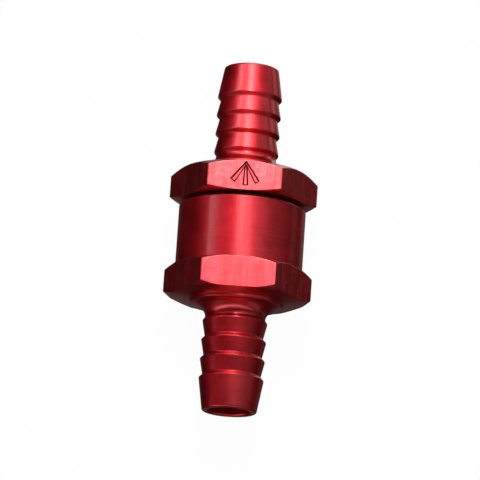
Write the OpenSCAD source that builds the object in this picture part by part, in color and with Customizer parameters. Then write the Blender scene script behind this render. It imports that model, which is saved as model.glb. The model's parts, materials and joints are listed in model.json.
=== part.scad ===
// In-line fuel filter with a built-in non-return valve.
// X is the flow axis and points from the inlet to the outlet. Z is up, out of the flat that
// carries the flow arrow. The origin is the middle of the part, on the flow axis.

/* [Overall] */
// Length from one hose end to the other
total_length = 60.5; // [59.5:0.1:62]
// Radius of the flow passage in both hose ends
port_r = 3.6; // [3:0.1:3.8]

/* [Hose barbs] */
// Number of barbs on each hose end
barb_count = 4; // [3:1:4]
// Distance from one barb to the next
barb_pitch = 3.31; // [3:0.01:3.4]
// Radius on the crest of a barb
crest_r = 5.54; // [5.4:0.01:5.7]
// Radius between two barbs
root_r = 4.98; // [4.8:0.01:5.1]
// Radius at the end of the hose end, before its edge is rounded
tip_r = 4.68; // [4.6:0.01:4.9]
// Distance from the inlet end to its first crest
inlet_tip_length = 5.5; // [5:0.1:6]
// Distance from the outlet end to its first crest
outlet_tip_length = 5.2; // [5:0.1:6]
// Width of the flat on a crest
crest_land = 0.14; // [0.1:0.01:0.2]
// Length of the slope behind a crest
crest_back = 0.55; // [0.3:0.01:0.6]

/* [Hexagons] */
// Distance across the flats
across_flats = 22; // [22:0.5:24]
// Outer end of the outlet hexagon's flats
cap_hex_outer = 11.3; // [11:0.01:11.4]
// Inner face of the outlet hexagon, where the cap's seal sits
cap_hex_inner = 6.02; // [5.95:0.01:6.1]
// Distance from the middle to the inner face of the inlet hexagon
housing_hex_inner = 5.43; // [5.3:0.01:5.6]
// Distance from the middle to the outer end of the inlet hexagon's flats
housing_hex_outer = 10.77; // [10.6:0.01:11]

/* [Barrel] */
// Radius of the barrel
barrel_r = 10.9; // [10.7:0.05:10.95]
// Open end of the barrel, where the cap's seal sits
barrel_end = 5.3; // [5.2:0.01:5.35]
// Radius of the chamber that holds the filter element
chamber_r = 8.2; // [8:0.05:8.3]
// Distance from the middle to the chamber's floor
chamber_floor = 8.4; // [8.3:0.05:8.5]

/* [Cap screw] */
// Root radius of the cap's thread
spigot_r = 8.35; // [8.3:0.01:8.45]
// Root radius of the barrel's thread
thread_bore_r = 9.05; // [9:0.01:9.1]
// Free end of the cap's threaded spigot
spigot_end = -0.7; // [-1.2:0.1:0]
// Bore of the spigot
spigot_bore_r = 7; // [6.8:0.05:7.1]
// Shoulder in the cap that the spring washer bears on
cap_shoulder = 8.4; // [8.3:0.05:8.5]

/* [Filter element] */
// Outer radius of the perforated core
core_r = 5.3; // [5.2:0.05:5.35]
// Inner radius of the perforated core
core_bore_r = 4.9; // [4.85:0.01:4.95]
// Thickness of the wire mesh sleeve
mesh_thickness = 0.2; // [0.15:0.01:0.25]
// Radius of the holes in the core
core_hole_r = 0.45; // [0.3:0.01:0.5]
// Holes in one row round the core
core_holes_round = 14; // [10:1:16]

/* [Non-return valve] */
// Radius of the passage through the valve seat
seat_r = 3; // [2.9:0.05:3.1]
// Radius of the valve's stem
stem_r = 0.9; // [0.8:0.05:1]
// Running clearance between the stem and its guide
stem_clearance = 0.06; // [0.04:0.01:0.08]

/* [Hidden] */

$fn = 96;
// How far a shape reaches into or past the one it joins or cuts
cut = 0.01;
over = 1;
end_x = total_length / 2;
across_corners = across_flats / cos(30);
flat_z = across_flats / 2;

// Hose end: a low boss on the hexagon, a concave flare down to the neck, then the barbs
boss_r = 8.05;
boss_height = 0.55;
boss_edge = 0.15;
neck_r = 5.15;
tip_round = 0.65;
port_chamfer = 0.25;
arc_steps = 8;

// Each hexagon's outer face rises as a flat cone from the flats to the boss
face_rise = 0.45;
face_slope = face_rise / (flat_z - boss_r);

// Chamfer of each hexagon's corners: [radius where it meets the face, its depth at a corner]
cap_outer_chamfer = [10.93, 1.04];
cap_inner_chamfer = [10.98, 0.56];
housing_outer_chamfer = [11.45, 0.72];
housing_inner_chamfer = [11.2, 0.87];

// Housing
barrel_edge = 0.2;
gasket_recess_r = 6.5;
gasket_recess = 0.5;
thread_start = -1.5;
gasket_floor = -chamber_floor - gasket_recess;

// Outlet cap
spigot_chamfer = 0.3;
seal_clearance = 0.05;
seal_r = 9.8;
seal_edge = 0.2;

// Flow arrow: three joined grooves with sloping walls. A stroke's four corners lie on its wall, a lip
// inside its mouth on the flat and a wall outside its floor
arrow_depth = 0.26;
arrow_lip = 0.08;
arrow_wall = 0.2;
arrow_tip = [11.08, -0.12];
arrow_strokes = [
    [arrow_tip, [7.86, 2.42], [7.32, 1.63], [10.76, -0.32]],
    [arrow_tip, [10.74, 0.12], [7.17, -1.85], [7.68, -2.53]],
    [[10.3, 0.12], [6.87, 0.27], [6.87, -0.62], [10.3, -0.3]]
];

// Filter element, from the gasket to the blind end
gasket_thickness = 0.8;
gasket_bore_r = 4;
flange_r = 6.3;
flange_thickness = 1;
hub_length = 1.1;
skirt_length = 0.8;
collar_x = gasket_floor + gasket_thickness;
core_x = collar_x + flange_thickness;
core_end = 2;
mesh_r = core_r + mesh_thickness;
end_cap_r = 5.9;
end_cap_thickness = 1;
spring_face = core_end + end_cap_thickness;
pilot_r = 4.7;
pilot_length = 1;
hole_fn = 24;
hole_rows = 6;
hole_row_pitch = 1.2;
first_hole_row = core_x + 2;

// Springs and the washer under the element's spring
washer_thickness = 0.4;
washer_x = cap_shoulder - washer_thickness;
washer_bore_r = 4.2;
washer_r = 6.6;
element_spring_r = 5.3;
element_wire_r = 0.3;
element_turns = 5;
valve_spring_r = 1.6;
valve_wire_r = 0.17;
valve_turns = 6;
closed_turns = 0.8;
rings_per_turn = 14;
wire_sides = 8;

// Valve: the seat is a 45 degree cone, and the poppet's cone stands off it by cone_gap
seat_x = core_x + 0.1;
seat_length = 1;
cone_gap = 0.2;
nose_x = seat_x - 0.4;
nose_r = seat_r - 0.4;
head_back = seat_x + seat_length + 0.5;
step_r = 1.3;
step_length = 0.4;
stem_end = 0.3;
small_chamfer = 0.25;
ring_wire_r = 0.35;
ring_fn = 32;
ring_clearance = 0.02;
ring_r = 3.1;
ring_x = ring_r - (seat_r - seat_x) + (ring_wire_r + ring_clearance) * sqrt(2);
guide_x = -0.9;
guide_thickness = 0.8;
guide_rim_r = 4.3;
guide_hub_r = 1.9;
guide_arm_width = 1;
guide_arm_end = guide_rim_r + 0.1;

// Points on an arc, [radius, x]
function arc(centre, r, from, to) = [
    for (i = [0:arc_steps])
        let (a = from + (to - from) * i / arc_steps)
            [centre[0] + r * cos(a), centre[1] + r * sin(a)]
];

// Distance of a crest from the middle of the part, counted from the hose end's tip
function crest_x(i, tip_length) = end_x - tip_length - i * barb_pitch;

// Outline of a hose end as [radius, x], from the edge of the flats to the tip on the axis. The
// concave flare is a quarter of an ellipse and runs down to the neck at the innermost barb.
function hose_end(face_x, tip_length) =
    let (
        flare_x = face_x + face_rise + boss_height,
        flare_end = crest_x(barb_count - 1, tip_length) - crest_land - crest_back,
        flare_rise = boss_r - boss_edge - neck_r
    )
    concat(
        [[boss_r, face_x], [boss_r, flare_x - boss_edge]],
        [
            for (i = [0:arc_steps - 1])
                let (a = 90 * i / arc_steps)
                    [
                        neck_r + flare_rise * (1 - sin(a)),
                        flare_end - (flare_end - flare_x) * cos(a)
                    ]
        ],
        [
            for (i = [barb_count - 1:-1:0])
                let (x = crest_x(i, tip_length), foot_r = i == barb_count - 1 ? neck_r : root_r)
                    for (p = [
                        [foot_r, x - crest_land - crest_back],
                        [crest_r, x - crest_land],
                        [crest_r, x]
                    ]) p
        ],
        arc([tip_r - tip_round, end_x - tip_round], tip_round, 10, 90),
        [[0, end_x]]
    );

// Outline of the flow passage's outer end, with its chamfer, for cutting
passage_end = [
    [port_r, end_x - port_chamfer],
    [port_r + port_chamfer + cut, end_x + cut],
    [0, end_x + cut]
];

// The same outline on the inlet side
function mirrored(outline) = [for (p = outline) [p[0], -p[1]]];

// Centre line of a compression spring: closed turns at both ends and open turns between
function coil_x(t, turns, wire_r, length) =
    let (
        closed_rise = 2 * wire_r * closed_turns,
        open_turns = turns - 2 * closed_turns,
        open_rise = length - 2 * wire_r - 2 * closed_rise
    )
    wire_r + (
        t < closed_turns ? t * 2 * wire_r
        : t > turns - closed_turns ? closed_rise + open_rise + (t - turns + closed_turns) * 2 * wire_r
        : closed_rise + (t - closed_turns) * open_rise / open_turns
    );

// Solid of revolution about the flow axis from an outline of [radius, x]
module turned(outline) {
    rotate([0, 90, 0])
        rotate_extrude()
            polygon(outline);
}

// Plain ring about the flow axis
module ring(x, length, outer_r, inner_r) {
    turned([[inner_r, x], [outer_r, x], [outer_r, x + length], [inner_r, x + length]]);
}

// Hexagon on the outlet side, with two flats facing up and down and chamfered corners
module hexagon(inner_x, outer_x, inner_chamfer, outer_chamfer) {
    corner_r = across_corners / 2;
    inner_slope = inner_chamfer[1] / (corner_r - inner_chamfer[0]);
    outer_slope = outer_chamfer[1] / (corner_r - outer_chamfer[0]);
    top_r = boss_r - over;
    top_x = outer_x + (flat_z - top_r) * face_slope;
    intersection() {
        translate([inner_x, 0, 0])
            rotate([0, 90, 0])
                rotate([0, 0, 30])
                    cylinder(h = top_x - inner_x, r = corner_r, $fn = 6);
        turned([
            [0, inner_x],
            [inner_chamfer[0], inner_x],
            [corner_r + over, inner_x + inner_chamfer[1] + over * inner_slope],
            [corner_r + over, outer_x - outer_chamfer[1] - over * outer_slope],
            [outer_chamfer[0], outer_x + (flat_z - outer_chamfer[0]) * face_slope],
            [top_r, top_x],
            [0, top_x]
        ]);
    }
}

// One groove of the flow arrow, wider than its outline at the mouth and narrower at the floor
module arrow_groove(outline) {
    hull() {
        translate([0, 0, flat_z])
            linear_extrude(cut)
                offset(delta = arrow_lip)
                    polygon(outline);
        translate([0, 0, flat_z - arrow_depth])
            linear_extrude(cut)
                offset(delta = -arrow_wall)
                    polygon(outline);
    }
}

// Compression spring about the flow axis, from x over the given length
module coil_spring(x, length, mean_r, wire_r, turns) {
    rings = turns * rings_per_turn;
    points = [
        for (i = [0:rings])
            let (t = i / rings_per_turn, a = 360 * t)
                for (j = [0:wire_sides - 1])
                    let (
                        b = 360 * j / wire_sides,
                        r = mean_r + wire_r * cos(b)
                    )
                    [
                        x + coil_x(t, turns, wire_r, length) + wire_r * sin(b),
                        r * cos(a),
                        r * sin(a)
                    ]
    ];
    last = rings * wire_sides;
    sides = [
        for (i = [0:rings - 1])
            for (j = [0:wire_sides - 1])
                let (
                    k = (j + 1) % wire_sides,
                    low = i * wire_sides,
                    high = low + wire_sides
                )
                for (f = [[low + j, high + j, high + k], [low + j, high + k, low + k]]) f
    ];
    start_cap = [for (j = [0:wire_sides - 1]) j];
    end_cap = [for (j = [wire_sides - 1:-1:0]) last + j];
    polyhedron(points = points, faces = concat([start_cap], sides, [end_cap]));
}

// Inlet half: hose end, hexagon, barrel, chamber and the thread for the cap
module housing() {
    color("crimson")
        difference() {
            union() {
                turned(concat(
                    mirrored(hose_end(housing_hex_outer, inlet_tip_length)),
                    [
                        [0, barrel_end],
                        [barrel_r - barrel_edge, barrel_end],
                        [barrel_r, barrel_end - barrel_edge],
                        [barrel_r, -housing_hex_inner - cut],
                        [boss_r, -housing_hex_inner - cut]
                    ]
                ));
                mirror([1, 0, 0])
                    hexagon(
                        housing_hex_inner,
                        housing_hex_outer,
                        housing_inner_chamfer,
                        housing_outer_chamfer
                    );
            }
            turned(concat(
                [
                    [0, barrel_end + cut],
                    [thread_bore_r, barrel_end + cut],
                    [thread_bore_r, thread_start],
                    [chamber_r, thread_start],
                    [chamber_r, -chamber_floor],
                    [gasket_recess_r, -chamber_floor],
                    [gasket_recess_r, gasket_floor],
                    [port_r, gasket_floor]
                ],
                mirrored(passage_end)
            ));
        }
}

// Outlet half: threaded spigot, hexagon with the flow arrow, and hose end
module outlet_cap() {
    color("crimson")
        difference() {
            union() {
                turned(concat(
                    hose_end(cap_hex_outer, outlet_tip_length),
                    [
                        [0, spigot_end],
                        [spigot_r - spigot_chamfer, spigot_end],
                        [spigot_r, spigot_end + spigot_chamfer],
                        [spigot_r, cap_hex_inner + cut],
                        [boss_r, cap_hex_inner + cut]
                    ]
                ));
                hexagon(
                    cap_hex_inner,
                    cap_hex_outer,
                    cap_inner_chamfer,
                    cap_outer_chamfer
                );
            }
            turned(concat(
                [
                    [0, spigot_end - cut],
                    [spigot_bore_r, spigot_end - cut],
                    [spigot_bore_r, cap_shoulder],
                    [port_r, cap_shoulder]
                ],
                passage_end
            ));
            for (stroke = arrow_strokes)
                arrow_groove(stroke);
        }
}

// Rubber seal between the barrel's end and the cap's hexagon
module cap_seal() {
    color("black")
        turned([
            [spigot_r + seal_clearance, barrel_end],
            [seal_r - seal_edge, barrel_end],
            [seal_r, barrel_end + seal_edge],
            [seal_r, cap_hex_inner - seal_edge],
            [seal_r - seal_edge, cap_hex_inner],
            [spigot_r + seal_clearance, cap_hex_inner]
        ]);
}

// Steel washer that keeps the spring off the cap's soft shoulder
module spring_washer() {
    color("silver")
        ring(washer_x, washer_thickness, washer_r, washer_bore_r);
}

// Spring that holds the filter element on its gasket
module element_spring() {
    color("silver")
        coil_spring(
            spring_face,
            washer_x - spring_face,
            element_spring_r,
            element_wire_r,
            element_turns
        );
}

// Rubber gasket between the element and the chamber's floor
module element_gasket() {
    color("black")
        ring(gasket_floor, gasket_thickness, flange_r, gasket_bore_r);
}

// Inlet end of the element, which is also the seat of the non-return valve
module element_collar() {
    color("goldenrod")
        turned([
            [seat_r, collar_x],
            [flange_r, collar_x],
            [flange_r, core_x + skirt_length],
            [mesh_r, core_x + skirt_length],
            [mesh_r, core_x],
            [core_bore_r, core_x],
            [core_bore_r, core_x + hub_length],
            [seat_r + seat_length, seat_x + seat_length],
            [seat_r, seat_x]
        ]);
}

// Perforated tube that carries the mesh
module element_core() {
    color("silver")
        difference() {
            ring(core_x, core_end - core_x, core_r, core_bore_r);
            for (row = [0:hole_rows - 1])
                for (i = [0:core_holes_round - 1])
                    translate([first_hole_row + row * hole_row_pitch, 0, 0])
                        rotate([(i + (row % 2) / 2) * 360 / core_holes_round, 0, 0])
                            translate([0, 0, core_bore_r - over])
                                cylinder(h = 2 * over, r = core_hole_r, $fn = hole_fn);
        }
}

// Fine wire mesh sleeve round the core
module element_mesh() {
    color("gainsboro")
        ring(core_x, core_end - core_x, mesh_r, core_r);
}

// Blind end of the element, with a pilot for the spring
module element_end_cap() {
    color("goldenrod")
        turned([
            [0, core_end],
            [mesh_r, core_end],
            [mesh_r, core_end - skirt_length],
            [end_cap_r, core_end - skirt_length],
            [end_cap_r, spring_face],
            [pilot_r, spring_face],
            [pilot_r, spring_face + pilot_length - small_chamfer],
            [pilot_r - small_chamfer, spring_face + pilot_length],
            [0, spring_face + pilot_length]
        ]);
}

// Three-armed bridge in the core that guides the valve's stem
module valve_guide() {
    color("goldenrod")
        difference() {
            union() {
                ring(guide_x, guide_thickness, core_bore_r, guide_rim_r);
                ring(guide_x, guide_thickness, guide_hub_r, 0);
                for (i = [0:2])
                    rotate([i * 120, 0, 0])
                        translate([guide_x, -guide_arm_width / 2, 0])
                            cube([guide_thickness, guide_arm_width, guide_arm_end]);
            }
            translate([guide_x - over, 0, 0])
                rotate([0, 90, 0])
                    cylinder(h = guide_thickness + 2 * over, r = stem_r + stem_clearance);
        }
}

// Valve head and stem, with a groove in the cone for its ring
module valve_poppet() {
    color("ivory")
        difference() {
            turned([
                [0, nose_x],
                [nose_r, nose_x],
                [seat_r - cone_gap, seat_x],
                [seat_r + seat_length - cone_gap, seat_x + seat_length],
                [seat_r + seat_length - cone_gap, head_back],
                [step_r, head_back],
                [step_r, head_back + step_length],
                [stem_r, head_back + step_length],
                [stem_r, stem_end - small_chamfer],
                [stem_r - small_chamfer, stem_end],
                [0, stem_end]
            ]);
            valve_ring_shape(ring_clearance / 2);
        }
}

// Round-section ring on the poppet's cone, grown by an allowance for its groove
module valve_ring_shape(allowance) {
    rotate([0, 90, 0])
        rotate_extrude()
            translate([ring_r, ring_x])
                circle(r = ring_wire_r + allowance, $fn = ring_fn);
}

// Rubber ring that seals the poppet on its seat
module valve_ring() {
    color("black")
        valve_ring_shape(0);
}

// Light spring that closes the non-return valve
module valve_spring() {
    color("silver")
        coil_spring(
            head_back,
            guide_x - head_back,
            valve_spring_r,
            valve_wire_r,
            valve_turns
        );
}

housing();
outlet_cap();
cap_seal();
spring_washer();
element_spring();
element_gasket();
element_collar();
element_core();
element_mesh();
element_end_cap();
valve_guide();
valve_poppet();
valve_ring();
valve_spring();
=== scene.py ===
import json
import math

import bmesh
import bpy
import numpy as np
from mathutils import Matrix, Vector


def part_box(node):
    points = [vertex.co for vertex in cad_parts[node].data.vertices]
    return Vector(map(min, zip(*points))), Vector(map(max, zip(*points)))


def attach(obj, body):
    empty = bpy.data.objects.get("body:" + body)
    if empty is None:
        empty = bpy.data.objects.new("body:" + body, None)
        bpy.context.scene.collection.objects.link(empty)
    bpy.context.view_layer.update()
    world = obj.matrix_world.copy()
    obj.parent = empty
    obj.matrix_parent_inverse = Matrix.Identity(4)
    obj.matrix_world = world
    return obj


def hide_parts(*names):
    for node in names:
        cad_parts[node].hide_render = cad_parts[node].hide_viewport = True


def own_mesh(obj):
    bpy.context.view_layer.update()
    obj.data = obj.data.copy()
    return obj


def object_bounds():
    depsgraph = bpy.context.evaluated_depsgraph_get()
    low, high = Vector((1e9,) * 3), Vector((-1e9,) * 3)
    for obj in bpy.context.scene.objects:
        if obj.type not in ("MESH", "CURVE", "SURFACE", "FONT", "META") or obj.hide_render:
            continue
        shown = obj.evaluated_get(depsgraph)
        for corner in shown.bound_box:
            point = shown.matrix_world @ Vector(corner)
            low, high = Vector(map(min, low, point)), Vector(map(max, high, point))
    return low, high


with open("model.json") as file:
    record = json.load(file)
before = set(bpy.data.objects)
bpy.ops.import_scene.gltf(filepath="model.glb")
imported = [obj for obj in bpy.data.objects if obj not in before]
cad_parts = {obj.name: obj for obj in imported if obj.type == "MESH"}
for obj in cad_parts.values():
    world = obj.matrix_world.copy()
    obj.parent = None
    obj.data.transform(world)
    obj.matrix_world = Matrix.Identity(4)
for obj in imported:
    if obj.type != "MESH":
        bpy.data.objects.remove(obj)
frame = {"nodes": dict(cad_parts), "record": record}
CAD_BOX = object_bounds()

MM = 0.001


def low(node):
    """Lowest corner of a CAD node, in millimetres."""
    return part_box(node)[0] / MM


def high(node):
    """Highest corner of a CAD node, in millimetres."""
    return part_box(node)[1] / MM


def mount(name):
    """The record's mount of that name."""
    return next(m for m in frame["record"]["mounts"] if m["name"] == name)


# ---------------------------------------------------------------- sizes, in millimetres
# From the frame
END_X = high("outlet_cap").x
FLAT_Z = high("outlet_cap").z
BARREL_END = high("housing").x
SEAL_R = high("cap_seal").z
CAP_HEX_INNER = high("cap_seal").x
SPIGOT_END = low("outlet_cap").x
GASKET_FLOOR = low("element_gasket").x
PORT_R = mount("inlet_port")["dims"]["r_mm"]
CREST_R = mount("inlet_barb")["dims"]["r_mm"]
CAP_SHOULDER = high("spring_washer").x
PITCH = frame["record"]["behaviour"]["couplings"][0]["ratio"] * 2 * math.pi / MM

# The part's own design sizes, which no box gives
BARB_COUNT = 4
BARB_PITCH = 3.31
INLET_TIP_LENGTH = 5.5
OUTLET_TIP_LENGTH = 5.2
TIP_R = 4.68
TIP_ROUND = 0.65
ROOT_R = 4.98
CREST_LAND = 0.14
CREST_BACK = 0.55
NECK_R = 5.15
BOSS_R = 8.05
BOSS_HEIGHT = 0.55
BOSS_EDGE = 0.15
PORT_CHAMFER = 0.25
CAP_HEX_OUTER = 11.3
HOUSING_HEX_INNER = 5.43
HOUSING_HEX_OUTER = 10.77
# Chamfers of a hexagon's corners, inner and outer: (radius where it meets the face, depth at a corner)
CAP_CHAMFERS = ((10.98, 0.56), (10.93, 1.04))
HOUSING_CHAMFERS = ((11.2, 0.87), (11.45, 0.72))
# Rise of a hexagon's outer face from its flats to the boss
FACE_RISE = 0.45
BARREL_R = 10.9
BARREL_CHAMFER = 0.2
CHAMBER_R = 8.2
CHAMBER_FLOOR = -8.4
RECESS_R = 6.5
THREAD_START = -1.5
THREAD_BORE_R = 9.05
THREAD_ENTRY = 0.35
THREAD_HEIGHT = 0.6
# Shares of a pitch, out from a ridge's middle: where its flank ends, and how wide the flank is
THREAD_FOOT = 0.4
THREAD_FLANK = 0.3125
SPIGOT_R = 8.35
SPIGOT_BORE_R = 7.0
# Where the two threads start and end
BARREL_THREAD = (BARREL_END - 0.4, THREAD_START + 0.3)
SPIGOT_THREAD = (SPIGOT_END + 0.4, BARREL_END - 0.5)
HEX_CORNER_R = FLAT_Z / math.cos(math.pi / 6)
HEX_EDGE_ROUND = 0.25
FACE_SLOPE = FACE_RISE / (FLAT_Z - BOSS_R)
EDGE_BREAK = 0.07
# How far below the flats a face still counts as one, and how far the arrow's cutter stands above them
FLAT_MARGIN = 0.02

# ---------------------------------------------------------------- mesh tools
# The most that a rounding takes of the side beside it, and how far out its guarding point lies
LONGEST_CUT = 0.36
GUARD = 1.3
# Rounding of a turned edge that states none
EDGE_ROUND = 0.06
# Steps round a turned part; steps over a hexagon's flat, and how far they fan out, in degrees
TURNED_STEPS = 120
FLAT_STEPS = 19
FLAT_FAN = 28.4
# Steps along a hose end's flare
FLARE_STEPS = 10
# Steps of a coil spring's wire in one turn
COIL_STEPS = 28


def rounded(corners):
    """Outline points from corners (x, radius, rounding, steps). Each rounded corner becomes a short
    curve with one more point before and after it, so that smooth shading stays flat beside it."""
    count = len(corners)
    points = []
    for i, (x, r, rounding, steps) in enumerate(corners):
        if rounding <= 0:
            points.append((x, r))
            continue
        here = np.array((x, r))
        before = np.array(corners[i - 1][:2]) - here
        after = np.array(corners[(i + 1) % count][:2]) - here
        reach_before = np.linalg.norm(before)
        reach_after = np.linalg.norm(after)
        cut = min(rounding, LONGEST_CUT * reach_before, LONGEST_CUT * reach_after)
        start = here + before / reach_before * cut
        end = here + after / reach_after * cut
        points.append(tuple(here + before / reach_before * cut * GUARD))
        for k in range(steps + 1):
            t = k / steps
            points.append(tuple((1 - t) ** 2 * start + 2 * t * (1 - t) * here + t * t * end))
        points.append(tuple(here + after / reach_after * cut * GUARD))
    return points


def angles_round(hexagonal):
    """Angles round the flow axis from +Z towards +Y. A hexagonal part has a fan of them across each
    flat, and a few on and just beside each corner's rounding."""
    if not hexagonal:
        return np.linspace(0, 2 * math.pi, TURNED_STEPS, endpoint=False)
    centre = (FLAT_Z - HEX_EDGE_ROUND) / math.cos(math.pi / 6)
    reach = math.degrees(math.pi / 6 - math.atan(centre * 0.5 / FLAT_Z))
    close = [share * reach for share in (-1.6, -1, -0.4, 0.4, 1, 1.6)]
    found = []
    for side in range(6):
        found += [60 * side + a for a in np.linspace(-FLAT_FAN, FLAT_FAN, FLAT_STEPS)]
        found += [60 * side + 30 + a for a in close]
    return np.radians(found)


def hexagon_radius(angle):
    """Distance from the axis to the hexagon's outline, whose corners are slightly rounded."""
    turn = (angle + math.pi / 6) % (math.pi / 3) - math.pi / 6
    centre = (FLAT_Z - HEX_EDGE_ROUND) / math.cos(math.pi / 6)
    off = math.pi / 6 - abs(turn)
    reach = math.pi / 6 - math.atan(centre * 0.5 / FLAT_Z)
    if off >= reach:
        return FLAT_Z / math.cos(turn)
    return centre * math.cos(off) + math.sqrt(HEX_EDGE_ROUND**2 - (centre * math.sin(off)) ** 2)


def lofted(name, outline_at, hexagonal=False, closed=True, flats=None):
    """A solid about the flow axis. outline_at(angle) gives its outline as (x, radius) points, as many
    at every angle. A closed outline makes a ring; an open one starts and ends on the axis. Faces
    whose radius and place satisfy flats(x, radius) get the second material slot."""
    turns = angles_round(hexagonal)
    grid = np.array([outline_at(a) for a in turns])
    rings, along = grid.shape[:2]
    mesh = bmesh.new()
    rows = []
    for a, outline in zip(turns, grid):
        y, z = math.sin(a), math.cos(a)
        rows.append([mesh.verts.new((x * MM, r * y * MM, r * z * MM)) for x, r in outline])
    for i in range(rings):
        here, there = rows[i], rows[(i + 1) % rings]
        for j in range(along if closed else along - 1):
            k = (j + 1) % along
            face = mesh.faces.new((here[j], here[k], there[k], there[j]))
            if flats:
                x, r = (grid[i, j] + grid[i, k]) / 2
                face.material_index = 1 if flats(x, r) else 0
    bmesh.ops.remove_doubles(mesh, verts=mesh.verts, dist=1e-7)
    bmesh.ops.recalc_face_normals(mesh, faces=mesh.faces)
    return finished(name, mesh)


def finished(name, mesh, sharp_angle=42):
    """Turns a bmesh into a smooth-shaded object whose real edges stay sharp."""
    data = bpy.data.meshes.new(name)
    mesh.to_mesh(data)
    mesh.free()
    for polygon in data.polygons:
        polygon.use_smooth = True
    data.set_sharp_from_angle(angle=math.radians(sharp_angle))
    piece = bpy.data.objects.new(name, data)
    bpy.context.scene.collection.objects.link(piece)
    return piece


def placed(piece, body, materials, replaced=()):
    """Gives a piece its materials and its body, and hides the CAD nodes it replaces."""
    for material in materials:
        piece.data.materials.append(material)
    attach(piece, body)
    if replaced:
        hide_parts(*replaced)
    return piece


def swept(mesh, centres, radius, sides, closed):
    """Adds a round wire along the centres to the bmesh, keeping the frame of each ring steady."""
    centres = [Vector(c) for c in centres]
    count = len(centres)
    rings = []
    for i, centre in enumerate(centres):
        if closed:
            along = centres[(i + 1) % count] - centres[i - 1]
        else:
            along = centres[min(i + 1, count - 1)] - centres[max(i - 1, 0)]
        along.normalize()
        outward = Vector((0, centre.y, centre.z)).normalized()
        outward = (outward - along * outward.dot(along)).normalized()
        across = along.cross(outward)
        ring = []
        for j in range(sides):
            b = 2 * math.pi * (j + 0.5) / sides
            ring.append(mesh.verts.new(centre + (outward * math.cos(b) + across * math.sin(b)) * radius))
        rings.append(ring)
    for i in range(count if closed else count - 1):
        here, there = rings[i], rings[(i + 1) % count]
        for j in range(sides):
            k = (j + 1) % sides
            mesh.faces.new((here[j], here[k], there[k], there[j]))
    if not closed:
        mesh.faces.new(rings[0][::-1])
        mesh.faces.new(rings[-1])


# ---------------------------------------------------------------- outlines


def crest_x(i, tip_length):
    """Outer edge of a crest, counted from the hose end's tip."""
    return END_X - tip_length - i * BARB_PITCH


def hose_end(face, tip_length):
    """Corners of a hose end from its boss's foot to the edge of its passage."""
    foot = face + FACE_RISE
    flare_x = foot + BOSS_HEIGHT
    flare_end = crest_x(BARB_COUNT - 1, tip_length) - CREST_LAND - CREST_BACK
    corners = [(foot, BOSS_R, 0.12, 2), (flare_x, BOSS_R, 0.16, 3)]
    # The flare is a quarter of an ellipse from the boss down to the neck
    for step in range(1, FLARE_STEPS):
        a = math.radians(90 * step / FLARE_STEPS)
        rise = (BOSS_R - BOSS_EDGE - NECK_R) * (1 - math.sin(a))
        corners.append((flare_end - (flare_end - flare_x) * math.cos(a), NECK_R + rise, 0, 0))
    for i in range(BARB_COUNT - 1, -1, -1):
        x = crest_x(i, tip_length)
        foot_r = NECK_R if i == BARB_COUNT - 1 else ROOT_R
        corners.append((x - CREST_LAND - CREST_BACK, foot_r, 0.1, 3))
        corners.append((x - CREST_LAND, CREST_R, 0.05, 2))
        corners.append((x, CREST_R, 0.06, 2))
    corners.append((END_X, TIP_R, TIP_ROUND, 6))
    corners.append((END_X, PORT_R + PORT_CHAMFER, 0.08, 2))
    corners.append((END_X - PORT_CHAMFER, PORT_R, 0.1, 2))
    return corners


def hexagon_corners(inner_x, outer_x, chamfers, angle):
    """Corners of the outlet-side hexagon at one angle, from its inner face to its outer face."""
    r = hexagon_radius(angle)
    drops = [max(depth * (r - face_r) / (HEX_CORNER_R - face_r), EDGE_BREAK) for face_r, depth in chamfers]
    inner_r, outer_r = (min(face_r, r - EDGE_BREAK) for face_r, depth in chamfers)
    return [
        (inner_x, inner_r, 0.06, 2),
        (inner_x + drops[0], r, 0.09, 2),
        (outer_x - drops[1], r, 0.09, 2),
        (outer_x + (FLAT_Z - outer_r) * FACE_SLOPE, outer_r, 0.06, 2),
    ]


def mirrored(corners):
    """The same corners on the inlet side, run through the other way."""
    return [(-x, r, rounding, steps) for x, r, rounding, steps in corners[::-1]]


def ridge(x, angle, centre):
    """Height of the right-handed thread at a place, from 0 to 1; centre is the ridge's phase."""
    phase = (x / PITCH + angle / (2 * math.pi) - centre) % 1
    off = min(phase, 1 - phase)
    return min(max((THREAD_FOOT - off) / THREAD_FLANK, 0), 1)


def thread_rows(start, end, angle, base_r, height, centre):
    """Outline points along a threaded stretch; the thread runs out over half a pitch at both ends."""
    count = int(abs(end - start) / (PITCH / 10))
    rows = []
    for i in range(count + 1):
        x = start + (end - start) * i / count
        fade = min(min(i, count - i) / 5, 1)
        rows.append((x, base_r + height * fade * ridge(x, angle, centre), 0, 0))
    return rows


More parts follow.
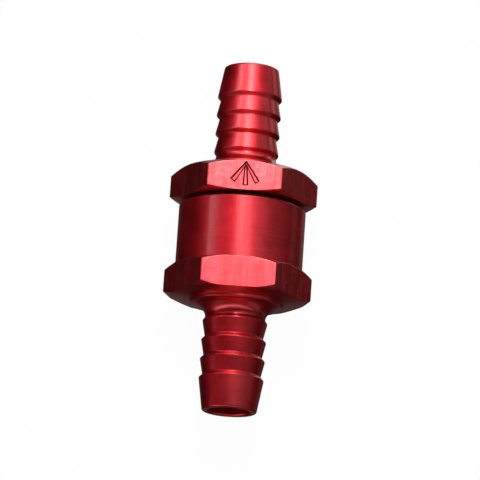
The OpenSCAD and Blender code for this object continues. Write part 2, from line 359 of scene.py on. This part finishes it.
def housing_outline(angle):
    """The housing's outline at one angle: the outside from the tip to the barrel's end, then the bores."""
    corners = mirrored(
        hexagon_corners(HOUSING_HEX_INNER, HOUSING_HEX_OUTER, HOUSING_CHAMFERS, angle)
        + hose_end(HOUSING_HEX_OUTER, INLET_TIP_LENGTH)
    )
    corners += [(-HOUSING_HEX_INNER, BARREL_R, 0.06, 2), (BARREL_END - BARREL_CHAMFER, BARREL_R, 0.06, 2)]
    corners += [(BARREL_END, BARREL_R - BARREL_CHAMFER, 0.06, 2)]
    corners += [(BARREL_END, THREAD_BORE_R + THREAD_ENTRY, 0.1, 2)]
    corners += [(BARREL_END - THREAD_ENTRY, THREAD_BORE_R, 0, 0)]
    corners += thread_rows(*BARREL_THREAD, angle, THREAD_BORE_R, -THREAD_HEIGHT, 0)
    corners += [(THREAD_START, THREAD_BORE_R, 0.1, 2), (THREAD_START, CHAMBER_R, 0.1, 2)]
    corners += [(CHAMBER_FLOOR, CHAMBER_R, 0.3, 3), (CHAMBER_FLOOR, RECESS_R, 0.08, 2)]
    corners += [(GASKET_FLOOR, RECESS_R, 0.08, 2), (GASKET_FLOOR, PORT_R, 0.12, 2)]
    return rounded(corners)


def cap_outline(angle):
    """The cap's outline at one angle: the spigot and the outside up to the tip, then the bores."""
    corners = [(SPIGOT_END, SPIGOT_BORE_R, 0.15, 2), (SPIGOT_END, SPIGOT_R - THREAD_ENTRY, 0.08, 2)]
    corners += [(SPIGOT_END + THREAD_ENTRY, SPIGOT_R, 0, 0)]
    corners += thread_rows(*SPIGOT_THREAD, angle, SPIGOT_R, THREAD_HEIGHT, 0.5)
    corners += [(CAP_HEX_INNER, SPIGOT_R, 0.1, 2)]
    corners += hexagon_corners(CAP_HEX_INNER, CAP_HEX_OUTER, CAP_CHAMFERS, angle)
    corners += hose_end(CAP_HEX_OUTER, OUTLET_TIP_LENGTH)
    corners += [(CAP_SHOULDER, PORT_R, 0.12, 2), (CAP_SHOULDER, SPIGOT_BORE_R, 0.3, 3)]
    return rounded(corners)


def on_flats(x, r):
    """Whether a place is on a hexagon's outside."""
    return r > FLAT_Z - FLAT_MARGIN


def turned(name, corners, closed=True):
    """A plain turned piece whose corners are (x, radius) or (x, radius, rounding)."""
    full = []
    for x, r, *rounding in corners:
        full.append((x, r, rounding[0] if rounding else EDGE_ROUND, 2) if r > 0 else (x, 0, 0, 0))
    outline = rounded(full)
    return lofted(name, lambda angle: outline, closed=closed)


# ---------------------------------------------------------------- materials


class Shader:
    """A node material with a few helpers for wiring it."""

    def __init__(self, name):
        self.material = bpy.data.materials.new(name)
        self.material.use_nodes = True
        self.tree = self.material.node_tree
        self.surface = self.tree.nodes["Principled BSDF"]
        self.place = self.node("ShaderNodeTexCoord").outputs["Object"]

    def node(self, kind, **values):
        made = self.tree.nodes.new(kind)
        for key, value in values.items():
            setattr(made, key, value)
        return made

    def link(self, source, target):
        self.tree.links.new(source, target)

    def set(self, values):
        for key, value in values.items():
            self.surface.inputs[key].default_value = value

    def mixed(self, first, second, share):
        """Sum of two patterns, where share is the part of the first."""
        return self.math("ADD", self.math("MULTIPLY", first, share), self.math("MULTIPLY", second, 1 - share))

    def colour(self, pattern, dark, light):
        self.link(self.ramp(pattern, [(0.35, dark), (0.65, light)]), self.surface.inputs["Base Color"])

    def roughness(self, pattern, smooth, rough):
        shades = self.ramp(pattern, [(0.35, grey(smooth)), (0.65, grey(rough))])
        self.link(shades, self.surface.inputs["Roughness"])

    def normal(self, marks):
        self.link(marks, self.surface.inputs["Normal"])
        self.link(marks, self.surface.inputs["Coat Normal"])

    def scaled(self, x, y, z):
        node = self.node("ShaderNodeMapping")
        node.inputs["Scale"].default_value = (x, y, z)
        self.link(self.place, node.inputs["Vector"])
        return node.outputs["Vector"]

    def noise(self, vector, scale, detail=3.0, roughness=0.5):
        node = self.node("ShaderNodeTexNoise")
        node.inputs["Scale"].default_value = scale
        node.inputs["Detail"].default_value = detail
        node.inputs["Roughness"].default_value = roughness
        self.link(vector, node.inputs["Vector"])
        return node.outputs["Fac"]

    def ramp(self, source, stops):
        node = self.node("ShaderNodeValToRGB")
        elements = node.color_ramp.elements
        while len(elements) < len(stops):
            elements.new(0.5)
        for element, (position, colour) in zip(elements, stops):
            element.position = position
            element.color = colour
        self.link(source, node.inputs["Fac"])
        return node.outputs["Color"]

    def math(self, operation, first, second):
        node = self.node("ShaderNodeMath", operation=operation)
        for socket, value in zip(node.inputs, (first, second)):
            if isinstance(value, (int, float)):
                socket.default_value = value
            else:
                self.link(value, socket)
        return node.outputs["Value"]

    def bump(self, height, strength, distance, normal=None):
        node = self.node("ShaderNodeBump")
        node.inputs["Strength"].default_value = strength
        node.inputs["Distance"].default_value = distance
        self.link(height, node.inputs["Height"])
        if normal is not None:
            self.link(normal, node.inputs["Normal"])
        return node.outputs["Normal"]


def grey(value):
    return (value, value, value, 1)


def round_the_axis(shader):
    """Place along and out from the flow axis, so that a pattern on it runs round the axis."""
    split = shader.node("ShaderNodeSeparateXYZ")
    shader.link(shader.place, split.inputs["Vector"])
    squares = [shader.math("POWER", split.outputs[axis], 2.0) for axis in ("Y", "Z")]
    joined = shader.node("ShaderNodeCombineXYZ")
    shader.link(split.outputs["X"], joined.inputs["X"])
    shader.link(shader.math("SQRT", shader.math("ADD", *squares), 0.0), joined.inputs["Y"])
    return joined.outputs["Vector"]


ANODISED = {
    "Metallic": 1.0,
    "Specular Tint": (1.0, 0.08, 0.1, 1),
    "Coat Weight": 1.0,
    "Coat IOR": 1.6,
}


def anodised_turned():
    """Red anodised aluminium, turned: rings round the axis, a clouded dye and a few nicks."""
    s = Shader("anodised_turned")
    s.set(ANODISED)
    s.set({"Coat Roughness": 0.22, "Anisotropic": 0.25})
    tangent = s.node("ShaderNodeTangent", direction_type="RADIAL", axis="X")
    s.link(tangent.outputs["Tangent"], s.surface.inputs["Tangent"])
    lathe = round_the_axis(s)
    fine = s.noise(lathe, 9000.0, 2.0)
    coarse = s.noise(lathe, 2200.0, 4.0, 0.65)
    cloud = s.noise(s.place, 330.0, 4.0, 0.6)
    specks = s.noise(s.place, 2600.0, 2.0)
    s.colour(s.mixed(coarse, cloud, 0.4), (0.58, 0.006, 0.015, 1), (0.8, 0.015, 0.031, 1))
    s.roughness(s.mixed(coarse, cloud, 0.5), 0.37, 0.5)
    nicks = s.ramp(specks, [(0.0, grey(0)), (0.27, grey(0)), (0.33, grey(1))])
    marks = s.bump(fine, 0.2, 0.00002)
    marks = s.bump(coarse, 0.25, 0.00005, marks)
    marks = s.bump(cloud, 0.1, 0.0001, marks)
    marks = s.bump(nicks, 0.4, 0.00003, marks)
    s.normal(marks)
    return s.material


def anodised_flats():
    """The same metal on the hexagons' flats: streaks along the axis, dents scattered over them."""
    s = Shader("anodised_flats")
    s.set(ANODISED)
    s.set({"Coat Roughness": 0.14, "Coat IOR": 1.72})
    streak = s.noise(s.scaled(0.09, 1, 1), 2600.0, 4.0, 0.6)
    broad = s.noise(s.scaled(0.16, 1, 1), 600.0, 3.0)
    cloud = s.noise(s.place, 420.0, 4.0, 0.6)
    dents = s.noise(s.place, 1500.0, 1.0)
    s.colour(s.mixed(streak, broad, 0.5), (0.6, 0.012, 0.02, 1), (0.94, 0.065, 0.085, 1))
    s.roughness(s.mixed(streak, cloud, 0.5), 0.34, 0.5)
    pits = s.ramp(dents, [(0.0, grey(0)), (0.24, grey(0)), (0.3, grey(1))])
    marks = s.bump(streak, 0.4, 0.00005)
    marks = s.bump(cloud, 0.4, 0.0001, marks)
    marks = s.bump(pits, 0.6, 0.00006, marks)
    s.normal(marks)
    return s.material


def anodised_groove():
    """The flow arrow's cut walls, coloured near black-red as painted shade inside the grooves."""
    s = Shader("anodised_groove")
    s.set({"Metallic": 1.0, "Specular Tint": (1.0, 0.08, 0.1, 1)})
    shade_mottle = s.noise(s.place, 1800.0, 3.0)
    # Painted shade: the walls' near black-red colour stands in for the shadow inside the arrow's grooves,
    # mottled a little by the noise
    s.colour(shade_mottle, (0.14, 0.001, 0.003, 1), (0.26, 0.0025, 0.006, 1))
    s.roughness(shade_mottle, 0.42, 0.58)
    s.normal(s.bump(shade_mottle, 0.3, 0.00004))
    return s.material


def rubber():
    """Black nitrile rubber with a faint moulded grain and a dusty bloom."""
    s = Shader("nitrile_rubber")
    s.set({"Specular IOR Level": 0.3})
    bloom = s.noise(s.place, 500.0, 3.0)
    s.colour(bloom, (0.012, 0.005, 0.005, 1), (0.028, 0.014, 0.013, 1))
    s.roughness(bloom, 0.5, 0.72)
    s.normal(s.bump(s.noise(s.place, 9000.0, 3.0), 0.3, 0.00002))
    return s.material


def bare_metal(name, dark, light, smooth, rough):
    """Bare turned metal with rings round the axis and a mottled tarnish."""
    s = Shader(name)
    s.set({"Metallic": 1.0, "Anisotropic": 0.4})
    tangent = s.node("ShaderNodeTangent", direction_type="RADIAL", axis="X")
    s.link(tangent.outputs["Tangent"], s.surface.inputs["Tangent"])
    rings = s.noise(round_the_axis(s), 7000.0, 3.0)
    tarnish = s.noise(s.place, 420.0, 4.0, 0.6)
    s.colour(tarnish, dark, light)
    s.roughness(rings, smooth, rough)
    s.normal(s.bump(rings, 0.2, 0.00002))
    return s.material


def wire_metal():
    """Drawn stainless wire: bright, with fine marks and a little soot in patches."""
    s = Shader("drawn_wire")
    s.set({"Metallic": 1.0})
    marks = s.noise(s.place, 15000.0, 2.0)
    patches = s.noise(s.place, 900.0, 3.0)
    s.colour(patches, (0.42, 0.41, 0.39, 1), (0.66, 0.65, 0.62, 1))
    s.roughness(marks, 0.22, 0.38)
    s.normal(s.bump(marks, 0.15, 0.00001))
    return s.material


def acetal():
    """Natural machined acetal: milky, with turning rings."""
    s = Shader("natural_acetal")
    s.set({"Subsurface Weight": 0.15, "Subsurface Scale": 0.0006, "Coat Weight": 0.1})
    rings = s.noise(round_the_axis(s), 6000.0, 3.0)
    s.colour(s.noise(s.place, 700.0, 3.0), (0.72, 0.7, 0.63, 1), (0.83, 0.82, 0.77, 1))
    s.roughness(rings, 0.34, 0.5)
    s.normal(s.bump(rings, 0.25, 0.00002))
    return s.material


TURNED = anodised_turned()
FLATS = anodised_flats()
GROOVE_PAINTED_SHADE = anodised_groove()
RUBBER = rubber()
BRASS = bare_metal("turned_brass", (0.52, 0.34, 0.12, 1), (0.76, 0.55, 0.24, 1), 0.26, 0.42)
STEEL = bare_metal("stainless_sheet", (0.4, 0.4, 0.39, 1), (0.6, 0.6, 0.58, 1), 0.25, 0.42)
WIRE = wire_metal()
ACETAL = acetal()

# ---------------------------------------------------------------- body of the filter

# A stroke's corners lie on its wall, a lip inside its mouth on the flat and a wall outside its floor
ARROW_DEPTH = 0.26
ARROW_LIP = 0.08
ARROW_WALL = 0.2
ARROW_TIP = (11.08, -0.12)
ARROW_STROKES = [
    (ARROW_TIP, (7.86, 2.42), (7.32, 1.63), (10.76, -0.32)),
    (ARROW_TIP, (10.74, 0.12), (7.17, -1.85), (7.68, -2.53)),
    ((10.3, 0.12), (6.87, 0.27), (6.87, -0.62), (10.3, -0.3)),
]


def inset(outline, distance):
    """The same convex outline with every side moved inwards."""
    moved = []
    centre = sum(outline, Vector((0, 0))) / len(outline)
    for i, corner in enumerate(outline):
        after = outline[(i + 1) % len(outline)]
        along = (after - corner).normalized()
        inward = Vector((-along.y, along.x))
        if inward.dot(centre - corner) < 0:
            inward = -inward
        moved.append((corner + inward * distance, along))
    corners = []
    for i, (start, along) in enumerate(moved):
        before, heading = moved[i - 1]
        reach = (start - before).cross(along) / heading.cross(along)
        corners.append(before + heading * reach)
    return corners


def arrow_cutter(materials):
    """The three joined grooves of the flow arrow, as one mesh that is taken out of the cap. Its walls get the
    third material, coloured dark as painted shade, and its floor the second."""
    mesh = bmesh.new()
    for stroke in ARROW_STROKES:
        outline = [Vector(p) for p in stroke]
        rings = []
        for z, step in ((FLAT_Z + FLAT_MARGIN, -ARROW_LIP), (FLAT_Z - ARROW_DEPTH, ARROW_WALL)):
            rings.append([mesh.verts.new((p.x * MM, p.y * MM, z * MM)) for p in inset(outline, step)])
        upper, lower = rings
        for face in (mesh.faces.new(upper), mesh.faces.new(lower[::-1])):
            face.material_index = 1
        for i in range(4):
            k = (i + 1) % 4
            mesh.faces.new((upper[i], lower[i], lower[k], upper[k])).material_index = 2
    bmesh.ops.recalc_face_normals(mesh, faces=mesh.faces)
    cutter = finished("arrow_cutter", mesh)
    for material in materials:
        cutter.data.materials.append(material)
    return cutter


def cut_away(piece, cutter):
    """Takes the cutter out of the piece for good, and removes the cutter."""
    modifier = piece.modifiers.new("cut", "BOOLEAN")
    modifier.operation = "DIFFERENCE"
    modifier.solver = "EXACT"
    modifier.use_self = True
    modifier.object = cutter
    graph = bpy.context.evaluated_depsgraph_get()
    result = bpy.data.meshes.new_from_object(piece.evaluated_get(graph))
    piece.modifiers.clear()
    piece.data = result
    piece.data.name = piece.name
    bpy.data.objects.remove(cutter)
    piece.data.set_sharp_from_angle(angle=math.radians(42))


housing = lofted("housing_body", housing_outline, hexagonal=True, flats=on_flats)
placed(housing, "housing", [TURNED, FLATS], ["housing"])

cap = lofted("cap_body", cap_outline, hexagonal=True, flats=on_flats)
for material in (TURNED, FLATS, GROOVE_PAINTED_SHADE):
    cap.data.materials.append(material)
cut_away(cap, arrow_cutter((TURNED, FLATS, GROOVE_PAINTED_SHADE)))
placed(cap, "cap", [], ["outlet_cap"])

seal = turned("cap_seal_ring", [
    (BARREL_END, SPIGOT_R + 0.05), (BARREL_END, SEAL_R, 0.2),
    (CAP_HEX_INNER, SEAL_R, 0.2), (CAP_HEX_INNER, SPIGOT_R + 0.05),
])
placed(seal, "seal", [RUBBER], ["cap_seal"])

# ---------------------------------------------------------------- filter element

CORE_X = low("element_core").x
CORE_END = high("element_core").x
CORE_R = high("element_core").z
CORE_BORE_R = 4.9
MESH_R = high("element_mesh").z
FLANGE_R = high("element_collar").z
GASKET_TOP = high("element_gasket").x
SKIRT_LENGTH = 0.8
SEAT_R = 3.0
SEAT_X = CORE_X + 0.1
SEAT_LENGTH = 1.0
HUB_LENGTH = 1.1
END_CAP_R = high("element_end_cap").z
SPRING_FACE = low("element_spring").x
PILOT_END = high("element_end_cap").x
PILOT_R = 4.7
WASHER_R = high("spring_washer").z
AXIAL_WIRES = 72
RING_WIRES = 30
GASKET_BORE_R = 4.0
WASHER_BORE_R = 4.2
WASHER_THICKNESS = 0.4

gasket = turned("gasket_ring", [
    (GASKET_FLOOR, GASKET_BORE_R, 0.1), (GASKET_FLOOR, FLANGE_R, 0.1),
    (GASKET_TOP, FLANGE_R, 0.1), (GASKET_TOP, GASKET_BORE_R, 0.1),
])
placed(gasket, "element", [RUBBER], ["element_gasket"])

collar = turned("collar_body", [
    (GASKET_TOP, SEAT_R, 0.15), (GASKET_TOP, FLANGE_R, 0.1), (CORE_X + SKIRT_LENGTH, FLANGE_R, 0.12),
    (CORE_X + SKIRT_LENGTH, MESH_R, 0.05), (CORE_X, MESH_R), (CORE_X, CORE_BORE_R),
    (CORE_X + HUB_LENGTH, CORE_BORE_R, 0.05), (SEAT_X + SEAT_LENGTH, SEAT_R + SEAT_LENGTH, 0.05),
    (SEAT_X, SEAT_R, 0.05),
])
placed(collar, "element", [BRASS], ["element_collar"])

end_cap = turned("end_cap_body", [
    (CORE_END, 0), (CORE_END, MESH_R), (CORE_END - SKIRT_LENGTH, MESH_R, 0.05),
    (CORE_END - SKIRT_LENGTH, END_CAP_R, 0.1), (SPRING_FACE, END_CAP_R, 0.15), (SPRING_FACE, PILOT_R, 0.08),
    (PILOT_END, PILOT_R, 0.25), (PILOT_END, 0),
], closed=False)
placed(end_cap, "element", [BRASS], ["element_end_cap"])


def woven_sleeve():
    """Wire cloth round the core: wires along the axis and rings that pass over and under each other."""
    wire_r = (MESH_R - CORE_R) / 4
    middle_r = (MESH_R + CORE_R) / 2
    mesh = bmesh.new()
    pitch = (CORE_END - CORE_X) / RING_WIRES
    for i in range(AXIAL_WIRES):
        a = 2 * math.pi * i / AXIAL_WIRES
        centres = []
        for k in range(2 * RING_WIRES + 1):
            x = min(max(CORE_X + k * pitch / 2, CORE_X + wire_r), CORE_END - wire_r)
            r = middle_r + wire_r * math.sin(math.pi * (k / 2 + i))
            centres.append((x * MM, r * math.sin(a) * MM, r * math.cos(a) * MM))
        swept(mesh, centres, wire_r * MM, 4, False)
    for j in range(RING_WIRES):
        centres = []
        for k in range(2 * AXIAL_WIRES):
            a = math.pi * k / AXIAL_WIRES
            r = middle_r - wire_r * math.sin(math.pi * (j + 0.5 + k / 2)) * (1 - k % 2)
            centres.append(((CORE_X + (j + 0.5) * pitch) * MM, r * math.sin(a) * MM, r * math.cos(a) * MM))
        swept(mesh, centres, wire_r * MM, 4, True)
    bmesh.ops.recalc_face_normals(mesh, faces=mesh.faces)
    return finished("wire_cloth", mesh, 60)


placed(woven_sleeve(), "element", [WIRE], ["element_mesh"])


def softened(node, material):
    """A CAD node that stays: its edges are broken and it gets its material."""
    piece = frame["nodes"][node]
    bevel = piece.modifiers.new("edges", "BEVEL")
    bevel.width = EDGE_ROUND * MM
    bevel.segments = 2
    bevel.limit_method = "ANGLE"
    bevel.angle_limit = math.radians(40)
    piece.data.materials.clear()
    piece.data.materials.append(material)


softened("element_core", STEEL)
softened("valve_guide", BRASS)

# ---------------------------------------------------------------- springs and valve


def coil_spring(name, node, mean_r, wire_r, turns, closed_turns=0.8):
    """Compression spring over the CAD node's length, with closed turns at both ends."""
    start, end = low(node).x, high(node).x
    closed_rise = 2 * wire_r * closed_turns
    open_rise = end - start - 2 * wire_r - 2 * closed_rise
    centres = []
    for i in range(int(turns * COIL_STEPS) + 1):
        t = i / COIL_STEPS
        open_share = min(max((t - closed_turns) / (turns - 2 * closed_turns), 0), 1)
        closed_share = min(t, closed_turns) + max(t - turns + closed_turns, 0)
        x = start + wire_r + 2 * wire_r * closed_share + open_rise * open_share
        a = 2 * math.pi * t
        centres.append((x * MM, mean_r * math.cos(a) * MM, mean_r * math.sin(a) * MM))
    mesh = bmesh.new()
    swept(mesh, centres, wire_r * MM, 10, False)
    bmesh.ops.recalc_face_normals(mesh, faces=mesh.faces)
    return finished(name, mesh, 60)


def squashed(piece):
    """Gives the spring a mesh of its own."""
    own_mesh(piece)


spring = coil_spring("element_spring_coil", "element_spring", mean_r=5.3, wire_r=0.3, turns=5)
placed(spring, "spring", [WIRE], ["element_spring"])
squashed(spring)

washer = turned("washer_ring", [
    (CAP_SHOULDER - WASHER_THICKNESS, WASHER_BORE_R, 0.08), (CAP_SHOULDER - WASHER_THICKNESS, WASHER_R, 0.08),
    (CAP_SHOULDER, WASHER_R, 0.08), (CAP_SHOULDER, WASHER_BORE_R, 0.08),
])
placed(washer, "spring", [STEEL], ["spring_washer"])

closing_spring = coil_spring("valve_spring_coil", "valve_spring", mean_r=1.6, wire_r=0.17, turns=6)
placed(closing_spring, "element", [WIRE], ["valve_spring"])
squashed(closing_spring)

CONE_GAP = 0.2
NOSE_X = low("valve_poppet").x
STEM_END = high("valve_poppet").x
HEAD_BACK = low("valve_spring").x
HEAD_R = SEAT_R + SEAT_LENGTH - CONE_GAP
NOSE_R = SEAT_R - 0.4
PILOT_HEIGHT = 0.4
SPRING_PILOT_R = 1.3
STEM_R = 0.9
RING_WIRE_R = 0.35
RING_R = high("valve_ring").z - RING_WIRE_R
RING_X = (low("valve_ring").x + high("valve_ring").x) / 2


def ring_groove():
    """Corners of the groove that the ring sits in, from the nose's side of the cone to its back."""
    r = RING_WIRE_R + 0.01
    offset = (RING_X + SEAT_R - SEAT_X - CONE_GAP - RING_R) / math.sqrt(2)
    reach = math.acos(offset / r)
    angles = np.linspace(3 * math.pi / 4 + reach, 11 * math.pi / 4 - reach, 14)
    return [(RING_X + r * math.cos(a), RING_R + r * math.sin(a), 0) for a in angles]


poppet = turned("poppet_body", [
    (NOSE_X, 0), (NOSE_X, NOSE_R, 0.1), (SEAT_X, SEAT_R - CONE_GAP, 0), *ring_groove(),
    (SEAT_X + SEAT_LENGTH, HEAD_R, 0.05), (HEAD_BACK, HEAD_R, 0.1), (HEAD_BACK, SPRING_PILOT_R),
    (HEAD_BACK + PILOT_HEIGHT, SPRING_PILOT_R), (HEAD_BACK + PILOT_HEIGHT, STEM_R),
    (STEM_END, STEM_R, 0.25), (STEM_END, 0),
], closed=False)
placed(poppet, "valve", [ACETAL], ["valve_poppet"])

ring_section = []
for a in np.linspace(0, 2 * math.pi, 16, endpoint=False):
    ring_section.append((RING_X + RING_WIRE_R * math.cos(a), RING_R + RING_WIRE_R * math.sin(a), 0))
valve_ring = turned("valve_ring_body", ring_section)
placed(valve_ring, "valve", [RUBBER], ["valve_ring"])

# ---------------------------------------------------------------- camera, floor and light
CAMERA_DISTANCE = 0.75
CAMERA_TILT = math.radians(13.5)
CAMERA_ROLL = math.radians(3.87)
# Width of what the camera sees at the part, and the place in its middle
VIEW_WIDTH = 82.347 * MM
AIM = Vector((-0.135 * MM, 0.08 * MM, 0.0))
# Brightness of the floor and of what lies beyond it
PAPER = 0.97
FLOOR_HALF_WIDTH = 6.0


def make_camera():
    """Looks down on the flat with the arrow, a little from the inlet side."""
    data = bpy.data.cameras.new("camera")
    data.sensor_width = 36.0
    data.lens = data.sensor_width * CAMERA_DISTANCE / VIEW_WIDTH
    data.clip_start, data.clip_end = 0.01, 20.0
    camera = bpy.data.objects.new("camera", data)
    back = Vector((-math.sin(CAMERA_TILT), 0.0, math.cos(CAMERA_TILT)))
    upward = Vector((math.cos(CAMERA_TILT), 0.0, math.sin(CAMERA_TILT)))
    upward = Matrix.Rotation(CAMERA_ROLL, 3, back) @ upward
    right = upward.cross(back)
    camera.matrix_world = Matrix((
        (right.x, upward.x, back.x, AIM.x + back.x * CAMERA_DISTANCE),
        (right.y, upward.y, back.y, AIM.y + back.y * CAMERA_DISTANCE),
        (right.z, upward.z, back.z, AIM.z + back.z * CAMERA_DISTANCE),
        (0, 0, 0, 1),
    ))
    bpy.context.scene.collection.objects.link(camera)
    bpy.context.scene.camera = camera


def make_floor():
    """A pale floor under the hexagons' flats, large enough for every view."""
    mesh = bmesh.new()
    bmesh.ops.create_grid(mesh, x_segments=1, y_segments=1, size=FLOOR_HALF_WIDTH)
    floor = finished("floor", mesh)
    floor.location.z = CAD_BOX[0].z
    s = Shader("pale_floor")
    s.set({"Base Color": (0.03, 0.03, 0.03, 1), "Roughness": 1.0, "Specular IOR Level": 0.0})
    s.set({"Emission Color": (1, 1, 1, 1), "Emission Strength": PAPER})
    floor.data.materials.append(s.material)
    floor.visible_glossy = False
    floor.visible_shadow = False


def softbox(name, towards, reach, radiance, distance=0.6):
    """A lamp panel that faces the part and fades towards its edges. towards gives its direction in
    degrees: its tilt from straight up towards +X, and its turn round the X axis from +Z towards +Y.
    reach is its half width in degrees the same two ways."""
    tilt, turn = (math.radians(a) for a in towards)
    direction = Vector((math.sin(tilt), math.cos(tilt) * math.sin(turn), math.cos(tilt) * math.cos(turn)))
    across = Vector((0, math.cos(turn), -math.sin(turn)))
    along = across.cross(direction)
    data = bpy.data.lights.new(name, "AREA")
    data.shape = "RECTANGLE"
    data.size, data.size_y = (2 * distance * math.tan(math.radians(a)) for a in reach)
    data.energy = radiance * math.pi * data.size * data.size_y
    data.use_nodes = True
    fade(data.node_tree)
    lamp = bpy.data.objects.new(name, data)
    rotation = Matrix((along, across, direction)).transposed().to_4x4()
    lamp.matrix_world = Matrix.Translation(direction * distance) @ rotation
    bpy.context.scene.collection.objects.link(lamp)


def fade(tree):
    """Makes a panel brightest in the middle: its strength falls as (1 - u^2)^2 (1 - v^2)^2."""
    place = tree.nodes.new("ShaderNodeNewGeometry").outputs["Parametric"]
    split = tree.nodes.new("ShaderNodeSeparateXYZ")
    tree.links.new(place, split.inputs["Vector"])

    def step(operation, *values):
        node = tree.nodes.new("ShaderNodeMath")
        node.operation = operation
        for socket, value in zip(node.inputs, values):
            if isinstance(value, (int, float)):
                socket.default_value = value
            else:
                tree.links.new(value, socket)
        return node.outputs["Value"]

    # Parametric holds 1 - u - v and u, each from 0 to 1 over the panel
    u = split.outputs["Y"]
    v = step("SUBTRACT", step("SUBTRACT", 1.0, split.outputs["X"]), u)
    strength = 1.0
    for share in (u, v):
        # 4 s (1 - s) is 1 in the middle of the panel and 0 at its edge
        hump = step("MULTIPLY", step("MULTIPLY", share, 4.0), step("SUBTRACT", 1.0, share))
        strength = step("MULTIPLY", strength, step("MULTIPLY", hump, hump))
    tree.links.new(strength, tree.nodes["Emission"].inputs["Strength"])


def make_world():
    """A dim world that lights next to nothing, though the camera sees it as pale as the floor."""
    world = bpy.data.worlds.new("studio")
    world.use_nodes = True
    tree = world.node_tree
    dim = tree.nodes["Background"]
    pale = tree.nodes.new("ShaderNodeBackground")
    for background, strength in ((dim, 0.012), (pale, PAPER)):
        background.inputs["Color"].default_value = (1, 1, 1, 1)
        background.inputs["Strength"].default_value = strength
    seen = tree.nodes.new("ShaderNodeLightPath")
    chosen = tree.nodes.new("ShaderNodeMixShader")
    tree.links.new(seen.outputs["Is Camera Ray"], chosen.inputs[0])
    tree.links.new(dim.outputs[0], chosen.inputs[1])
    tree.links.new(pale.outputs[0], chosen.inputs[2])
    tree.links.new(chosen.outputs[0], tree.nodes["World Output"].inputs["Surface"])
    bpy.context.scene.world = world


def make_light():
    """A small bright lamp that the flats mirror, two wider ones for the round parts, and three weak
    ones: beyond the inlet end, beside the flats on the -Y side, and beneath the floor for the outlines."""
    softbox("hot", (16, -7), (14, 15), 3.1)
    softbox("key", (22, -20), (28, 34), 0.48)
    softbox("wide", (26, -18), (36, 78), 0.4)
    softbox("front", (-80, 0), (30, 80), 0.4)
    softbox("right_fill", (13, -125), (30, 25), 0.12)
    softbox("under", (14, 180), (30, 40), 0.12)
    make_world()
    bpy.context.scene.view_settings.view_transform = "Standard"


make_camera()
make_floor()
make_light()
